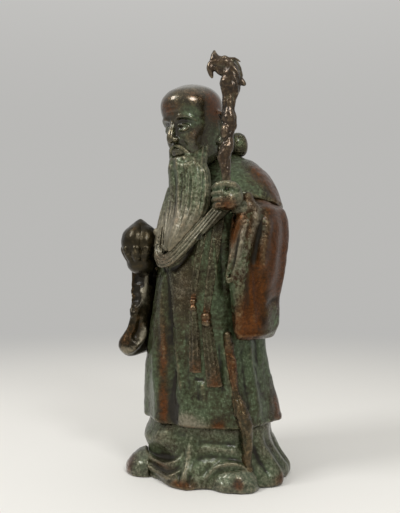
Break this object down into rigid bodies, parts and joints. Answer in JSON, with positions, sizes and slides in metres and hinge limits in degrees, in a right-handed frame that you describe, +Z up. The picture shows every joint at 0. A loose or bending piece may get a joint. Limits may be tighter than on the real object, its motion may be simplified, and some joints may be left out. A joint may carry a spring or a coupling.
{
  "type": "bronze statue",
  "caption": "Cast bronze figure of a standing longevity sage in a draped robe, with a peach on one hand and a dragon-headed staff that lifts out of the other.",
  "frame": {"origin": "middle of the footprint's box, on the table", "axes": "+Z up, -Y the way the figure faces, +X the figure's left"},
  "size_m": [0.1454, 0.1154, 0.3445],
  "materials": {
    "patina_bronze": "green-brown patinated bronze",
    "worn_bronze": "red-brown rubbed bronze",
    "dark_bronze": "near-black bronze",
    "raw_bronze": "plain bronze rod"
  },
  "bodies": {
    "figure": {"robe": "patina_bronze", "underskirt": "patina_bronze", "hem_pin_left": "raw_bronze", "hem_pin_back": "raw_bronze", "hem_pin_right": "raw_bronze", "hem_pin_front": "raw_bronze", "left_shoe": "patina_bronze", "left_shoe_pin": "raw_bronze", "right_shoe": "patina_bronze", "right_shoe_pin": "raw_bronze", "head": "patina_bronze", "neck_pin": "raw_bronze", "hair_knot": "patina_bronze", "lapel": "patina_bronze", "beard": "patina_bronze", "left_sleeve": "worn_bronze", "right_sleeve": "dark_bronze", "left_arm_dowel": "raw_bronze", "right_arm_dowel": "raw_bronze", "left_hand": "patina_bronze", "right_hand": "dark_bronze", "peach": "dark_bronze", "front_tassel": "worn_bronze", "side_tassel": "worn_bronze", "lower_staff": "worn_bronze"},
    "staff": {"dragon_staff": "worn_bronze"}
  },
  "joints": [
    {"name": "staff_lift", "type": "slide", "parent": "figure", "child": "staff", "axis": [0, 0, 1], "range_m": [0, 0.018]}
  ]
}
